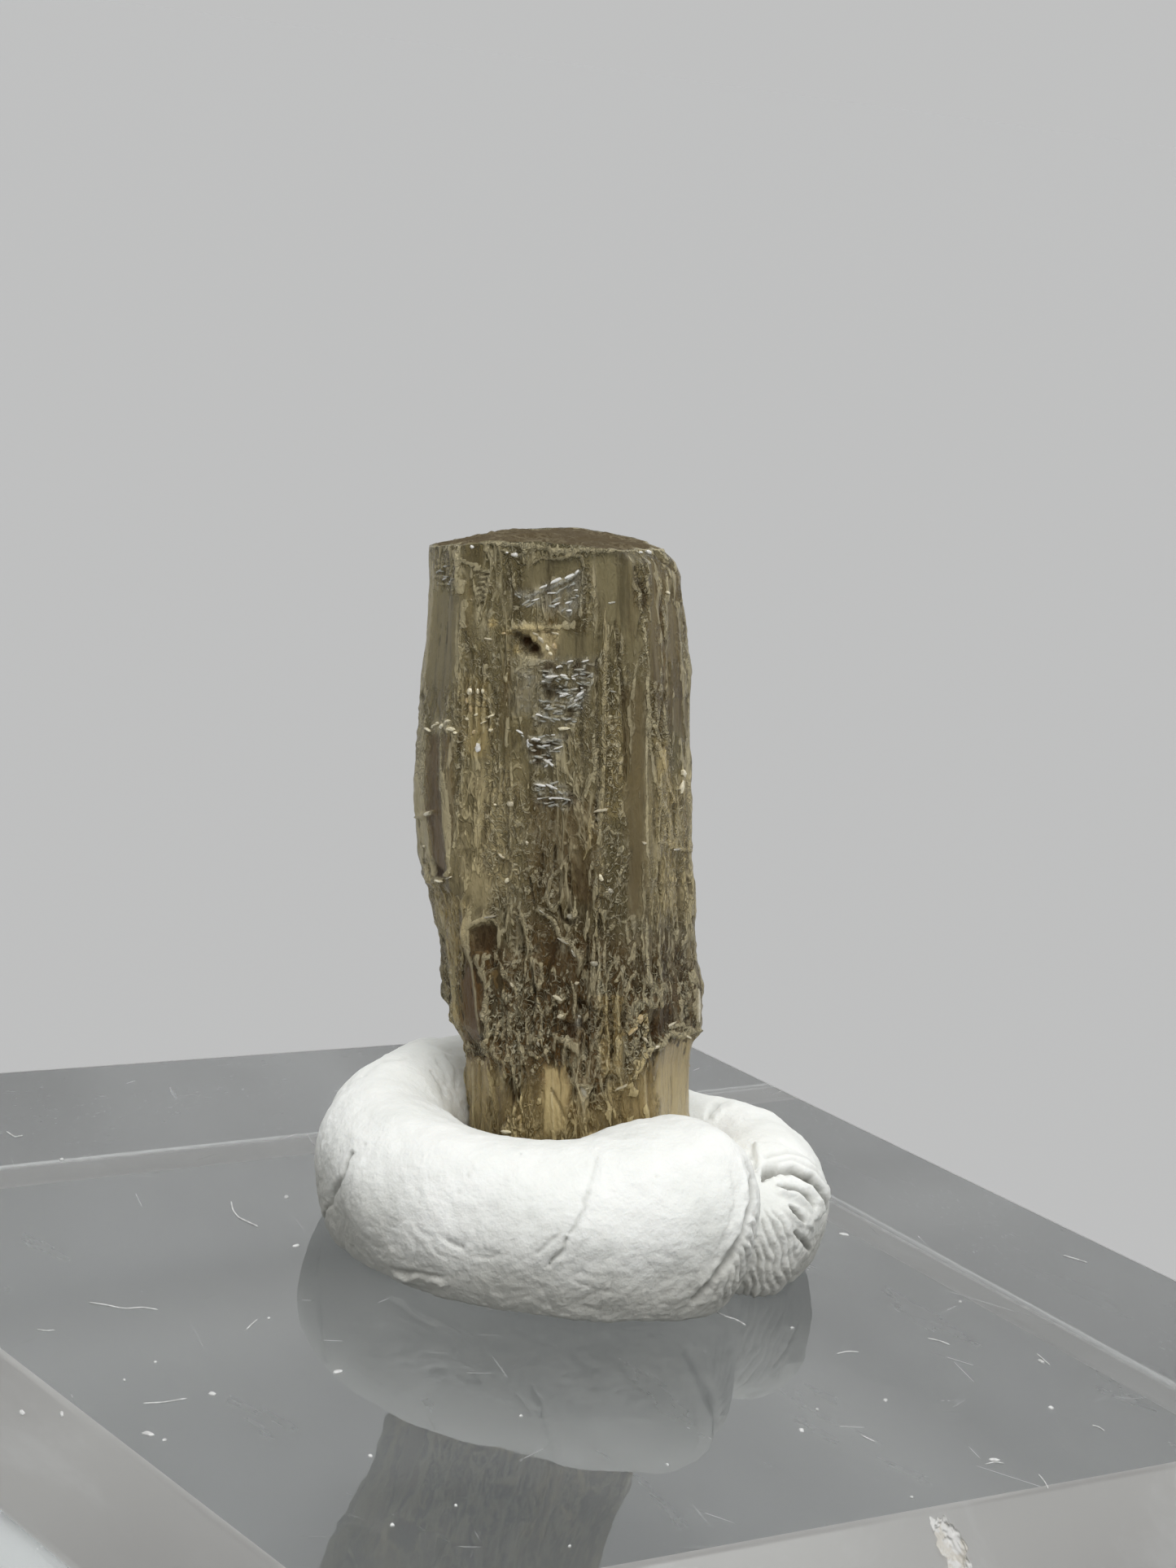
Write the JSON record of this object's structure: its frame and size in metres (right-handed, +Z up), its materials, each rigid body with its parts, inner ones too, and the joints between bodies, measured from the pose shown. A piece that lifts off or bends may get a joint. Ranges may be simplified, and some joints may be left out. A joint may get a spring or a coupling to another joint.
{
  "type": "mounted scapolite crystal",
  "caption": "Striated grey-brown scapolite prism, broken at both ends, held upright and slightly leaning by a bent roll of white putty on a clear bevelled square display block.",
  "frame": {"origin": "centre of the display block's underside", "axes": "+Z up through the block, X and Y along the block's sides; the specimen's front faces about 38 degrees from -Y towards -X"},
  "size_m": [0.0508, 0.0508, 0.0446],
  "materials": {
    "scapolite": "translucent grey-brown mineral, vitreous, deeply striated along its length",
    "white_putty": "matte kneaded putty with creases and finger marks",
    "clear_acrylic": "polished, colourless and clear, with fine surface scratches"
  },
  "bodies": {
    "root": {"scapolite": "scapolite", "putty_ring": "white_putty", "display_block": "clear_acrylic"}
  },
  "joints": []
}
